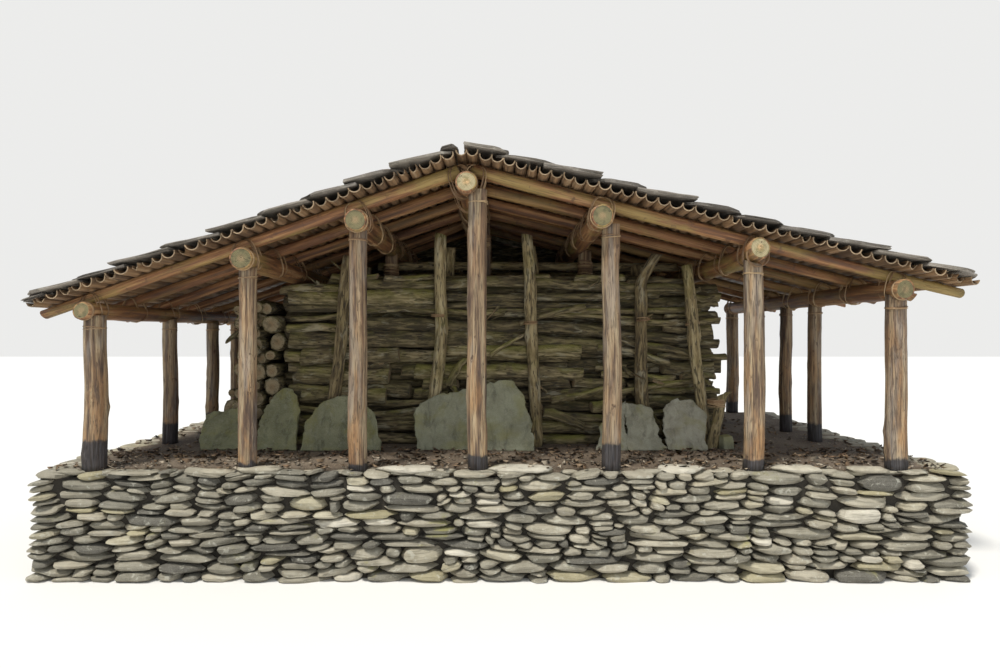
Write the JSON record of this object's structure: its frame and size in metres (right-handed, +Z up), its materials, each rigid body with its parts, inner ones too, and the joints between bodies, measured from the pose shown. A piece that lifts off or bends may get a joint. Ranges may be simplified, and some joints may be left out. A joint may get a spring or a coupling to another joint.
{
  "type": "traditional sediq house of logs, bamboo and slate",
  "caption": "Low gabled house on a dry-stone platform: slate roof over split bamboo and poles, round posts, and a room of stacked logs held by stakes.",
  "frame": {"origin": "on the ground under the middle of the platform", "axes": "+X to the right, +Y to the rear along the ridge, +Z up; the front gable faces -Y"},
  "size_m": [7.868, 4.99, 3.6025],
  "materials": {
    "wall_stone": "rough river slate",
    "earth": "packed earth",
    "post_wood": "stripped, weathered",
    "pole_wood": "peeled, smoke brown",
    "split_bamboo": "dry, brown",
    "roof_slate": "split slate",
    "bark_log": "bark, mossy",
    "stake_wood": "rough bark",
    "slab_slate": "split slate, mossy"
  },
  "bodies": {
    "root": {"front_post_1": "post_wood", "front_post_2": "post_wood", "front_post_3": "post_wood", "front_post_4": "post_wood", "front_post_5": "post_wood", "front_post_6": "post_wood", "front_post_7": "post_wood", "rear_posts": "post_wood", "left_side_posts": "post_wood", "right_side_posts": "post_wood", "front_inner_posts": "post_wood", "rear_inner_posts": "post_wood", "door_post": "post_wood", "left_eave_purlin": "pole_wood", "left_lower_purlin": "pole_wood", "left_upper_purlin": "pole_wood", "ridge_purlin": "pole_wood", "right_upper_purlin": "pole_wood", "right_lower_purlin": "pole_wood", "right_eave_purlin": "pole_wood", "front_tie_beam": "pole_wood", "rear_tie_beam": "pole_wood", "left_rafters": "pole_wood", "right_rafters": "pole_wood", "left_bamboo": "split_bamboo", "right_bamboo": "split_bamboo", "left_slates": "roof_slate", "right_slates": "roof_slate", "front_log_wall": "bark_log", "rear_log_wall": "bark_log", "left_log_wall": "bark_log", "right_log_wall": "bark_log", "front_wall_stakes": "stake_wood", "rear_wall_stakes": "stake_wood", "left_wall_stakes": "stake_wood", "right_wall_stakes": "stake_wood", "leaning_slabs": "slab_slate", "front_stone_wall": "wall_stone", "rear_stone_wall": "wall_stone", "left_stone_wall": "wall_stone", "right_stone_wall": "wall_stone", "earth_platform": "earth"}
  },
  "joints": []
}
